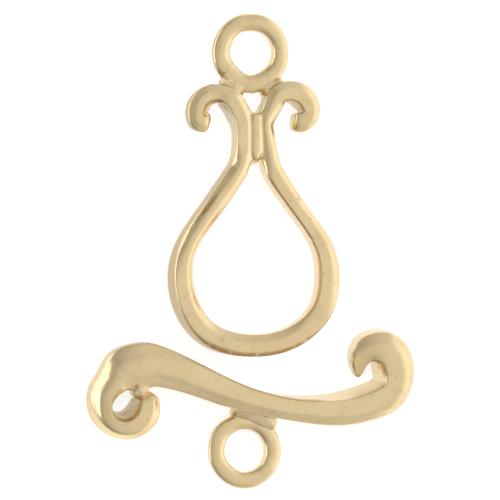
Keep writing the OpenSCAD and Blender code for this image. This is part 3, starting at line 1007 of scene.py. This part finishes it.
class CLASP_OT_loop(bpy.types.Operator):
    """Model the pear-shaped loop with its horns and eyelet"""

    bl_idname = "clasp.loop"
    bl_label = "Loop"

    def execute(self, context):
        sizes = context.scene.clasp_sizes
        width = sizes.wire_width / MM
        depth = (LOOP_HIGH.z - LOOP_LOW.z) / MM
        axis = LOOP_EYE.x
        foot = LOOP_LOW.y / MM
        pear_half = (LOOP_HIGH.x - LOOP_LOW.x) / MM / 2 - width / 2
        neck_half = (sizes.neck_width + sizes.strand_gap) / MM / 2
        horn_half = (sizes.horn_span / MM - width) / 2
        foot_line = foot + PEAR_RIGHT_ROWS[0][2] * width / 2
        crotch = foot + sizes.pear_length / MM
        neck_top = crotch + sizes.neck_length / MM
        horn_y = sizes.horn_rise / MM - width * HORN_TOP

        def horn(row, side):
            x = axis + side * (neck_half + row[0] * (horn_half - neck_half))
            y = neck_top + row[1] * horn_y
            return x, y, *body(row, width, depth), *row[FLARE_LEFT:]

        def pear(row, side):
            x = axis + side * row[0] * pear_half
            y = foot_line + row[1] * (crotch - foot_line)
            return x, y, row[2] * width, depth, 0, 0, *row[3:]

        def neck(row, side):
            out, edges = (row[0], row[2:4]) if side < 0 else (row[4], row[5:7])
            x = axis + side * (neck_half + out * width)
            y = crotch + row[1] * sizes.neck_length / MM
            return x, y, sizes.neck_width / MM, depth, 0, 0, 0, *edges

        rows = (
            [horn(r, -1) for r in reversed(LEFT_HORN_ROWS)]
            + [neck(r, -1) for r in reversed(NECK_ROWS)]
            + [pear(r, -1) for r in reversed(PEAR_LEFT_ROWS)]
            + [pear(r, 1) for r in PEAR_RIGHT_ROWS]
            + [neck(r, 1) for r in NECK_ROWS]
            + [horn(r, 1) for r in RIGHT_HORN_ROWS]
        )
        loop = smoothed(wire("clasp_loop_gold", rows, first_round=0.8, last_round=0.5))
        bore = 2 * MOUNTS["loop_eyelet"]["dims"]["r_mm"]
        thick = LOOP_HIGH.y / MM - LOOP_EYE.y - bore / 2
        ring = eyelet("loop_eyelet_ring", LOOP_EYE, bore, thick, LOOP_RING, LOOP_RING_NUDGES)
        around = (LOOP_EYE, bore / 2 + thick, thick, depth)
        webs = [
            solder("left_web", [web_row(r, *around) for r in HORN_SOLDER_ROWS]),
            solder("right_web", [web_row(r, *around, side=-1) for r in reversed(HORN_SOLDER_ROWS)]),
        ]
        seam = []
        for at, wide, deep in NECK_SOLDER_ROWS:
            y = crotch + at * sizes.neck_length / MM
            shape = wide * sizes.neck_width / MM, deep * depth, NECK_SOLDER_LIFT * depth
            seam.append((axis, y, *shape, 0, 0, *SOLDER_EDGES))
        seam = smoothed(wire("seam", seam))
        pieces = [loop, seam, ring] + webs
        soldered(pieces, clean=pieces.index(seam))
        finished(loop, "clasp_loop")
        return {"FINISHED"}


class CLASP_OT_bar(bpy.types.Operator):
    """Model the scrolled toggle bar with its eyelet"""

    bl_idname = "clasp.bar"
    bl_label = "Bar"

    def execute(self, context):
        sizes = context.scene.clasp_sizes
        width, depth = sizes.bar_width / MM, sizes.bar_depth / MM
        span, fall = sizes.scroll_span / MM, sizes.bar_fall / MM
        bore = 2 * MOUNTS["bar_eyelet"]["dims"]["r_mm"]
        thick = BAR_EYE.y - bore / 2 - BAR_LOW.y / MM
        outer = bore / 2 + thick
        eye = Vector((
            BAR_EYE.x - SEAT_ALONG * span,
            BAR_EYE.y + outer + sizes.seat_gap / MM + SEAT_HALF * width
            - (BAR_DROP + SEAT_AT) * fall,
        ))

        def stretch(row):
            x, y = eye.x + row[0] * span, eye.y + (BAR_DROP + row[1]) * fall
            return x, y, *body(row, width, depth), *row[FLARE_LEFT:]

        def scroll(row, at, radius):
            x, y = polar(at, row[1] * radius + row[WIDE] * width / 2, row[0])
            return x, y, *body(row, width, depth), *row[FLARE_LEFT:]

        right = Vector((eye.x + span, eye.y + sizes.scroll_step / MM))
        rows = (
            [scroll(r, eye, sizes.left_eye / MM) for r in LEFT_SCROLL_ROWS]
            + [stretch(r) for r in BAR_ROWS]
            + [scroll(r, right, sizes.right_eye / MM) for r in RIGHT_SCROLL_ROWS]
        )
        bar = smoothed(wire("toggle_bar_gold", rows, first_round=0.8, last_round=0.5))
        sheared(bar, sizes.bar_lean, BAR_HIGH.z / MM)
        ring = eyelet("bar_eyelet_ring", BAR_EYE, bore, thick, BAR_RING, BAR_RING_NUDGES)
        around = (BAR_EYE, outer, thick, depth)
        seat = solder("seat", [web_row(r, *around) for r in SEAT_SOLDER_ROWS])
        nub = []
        for angle, share, wide, deep, lift in TIP_SOLDER_ROWS:
            x, y = polar(eye, share * sizes.left_eye / MM, angle)
            nub.append((x, y, wide * width, deep * depth, lift * depth, 0, 0, *SOLDER_EDGES))
        nub = sheared(solder("nub", nub), sizes.bar_lean, BAR_HIGH.z / MM)
        soldered([bar, nub, seat, ring])
        finished(bar, "toggle_bar")
        return {"FINISHED"}


class CLASP_OT_finish(bpy.types.Operator):
    """Mix the gold that both halves are plated with"""

    bl_idname = "clasp.finish"
    bl_label = "Gold finish"

    def execute(self, context):
        gold_material(context.scene.clasp_finish)
        return {"FINISHED"}


def world_light():
    """Pale room: brighter towards the right, dimmer on the left, in front and behind."""
    world = bpy.data.worlds.new("studio")
    bpy.context.scene.world = world
    board = Board(world)
    x, y, _ = board.split(board.node("ShaderNodeTexCoord", {}, {}).outputs["Generated"])
    right = board.smooth(x, -0.25, 0.3)
    far_right = board.smooth(x, 0.45, 0.88)
    left = board.smooth(x, -0.1, -0.55)
    front = board.smooth(y, -0.2, -0.65)
    back = board.smooth(y, 0.25, 0.75)
    low_front = board.smooth(y, -0.5, -0.8) * board.smooth(x, 0.35, -0.1)
    light = 0.66 + 0.17 * right + 0.42 * far_right - 0.14 * left - 0.13 * front
    light = light - 0.1 * back - 0.06 * low_front
    board.put(board.tree.nodes["Background"].inputs["Color"], light)


def panel(name, azimuth, elevation, width, height, watts, distance=0.5):
    """Soft panel light that faces the clasp."""
    deselect()
    up = math.radians(elevation)
    ahead = Vector((*polar((0, 0), math.cos(up), azimuth), math.sin(up)))
    bpy.ops.object.light_add(type="AREA")
    lamp = bpy.context.object
    lamp.name = name
    lamp.data.shape = "RECTANGLE"
    lamp.data.size, lamp.data.size_y = width, height
    lamp.data.energy = watts
    lamp.rotation_euler = ahead.to_track_quat("Z", "Y").to_euler()
    lamp.location = ahead * distance
    return lamp


# The floor lies this far under the clasp, in metres, and the view's middle is here
FLOOR_DROP = 0.00002
VIEW_CENTRE = Vector((0.23 * MM, 0.079 * MM, 0))


class CLASP_OT_stage(bpy.types.Operator):
    """Lay the pale floor and set up the light and the camera"""

    bl_idname = "clasp.stage"
    bl_label = "Stage"

    def execute(self, context):
        studio = context.scene.clasp_studio
        context.scene.view_settings.view_transform = "Standard"
        deselect()
        bpy.ops.mesh.primitive_plane_add(size=4, location=(0, 0, -FLOOR_DROP))
        floor = context.object
        floor.name = "floor"
        paint = bpy.data.materials.new("light_table")
        board = Board(paint)
        sockets = board.tree.nodes["Principled BSDF"].inputs
        board.put(sockets["Base Color"], (*studio.floor, 1))
        board.put(sockets["Roughness"], 0.9)
        board.put(sockets["Specular IOR Level"], 0)
        board.put(sockets["Emission Color"], (1, 1, 1, 1))
        board.put(sockets["Emission Strength"], studio.table)
        floor.data.materials.append(paint)
        world_light()
        panel("left_panel", azimuth=178, elevation=17, width=0.38, height=0.17, watts=0.38)
        panel("upper_left_panel", azimuth=142, elevation=15, width=0.22, height=0.15, watts=0.15)
        overhead = panel("overhead_panel", 0, 90, width=1.2, height=1.2, watts=1.5, distance=0.8)
        overhead.visible_glossy = False

        bpy.ops.object.camera_add()
        camera = context.object
        camera.data.clip_start = 0.001
        camera.data.lens = camera.data.sensor_width * studio.distance / studio.width
        side = Vector((math.cos(studio.tilt), 0, math.sin(studio.tilt)))
        back = Vector((-math.sin(studio.tilt), 0, math.cos(studio.tilt)))
        axes = Matrix((side, (0, 1, 0), back)).transposed()
        spot = VIEW_CENTRE + back * studio.distance
        camera.matrix_world = Matrix.Translation(spot) @ axes.to_4x4()
        context.scene.camera = camera
        return {"FINISHED"}


class CLASP_PT_sidebar(bpy.types.Panel):
    """Buttons and sizes of the clasp"""

    bl_label = "Toggle clasp"
    bl_space_type = "VIEW_3D"
    bl_region_type = "UI"
    bl_category = "Clasp"

    def draw(self, context):
        for pointer in GROUPS:
            group = getattr(context.scene, pointer)
            box = self.layout.box()
            for name in group.bl_rna.properties.keys():
                if name not in ("name", "rna_type"):
                    box.prop(group, name)
        for operator in STEPS:
            self.layout.operator(operator.bl_idname)


STEPS = (CLASP_OT_finish, CLASP_OT_loop, CLASP_OT_bar, CLASP_OT_stage)
GROUPS = {"clasp_sizes": ClaspSizes, "clasp_finish": ClaspFinish, "clasp_studio": StudioLight}
CLASSES = (*GROUPS.values(), *STEPS, CLASP_PT_sidebar)


def register():
    for one in CLASSES:
        bpy.utils.register_class(one)
    for pointer, group in GROUPS.items():
        setattr(bpy.types.Scene, pointer, bpy.props.PointerProperty(type=group))


def unregister():
    for pointer in GROUPS:
        delattr(bpy.types.Scene, pointer)
    for one in reversed(CLASSES):
        bpy.utils.unregister_class(one)


def main():
    register()
    bpy.ops.clasp.finish()
    bpy.ops.clasp.loop()
    bpy.ops.clasp.bar()
    bpy.ops.clasp.stage()


if __name__ == "__main__":
    main()
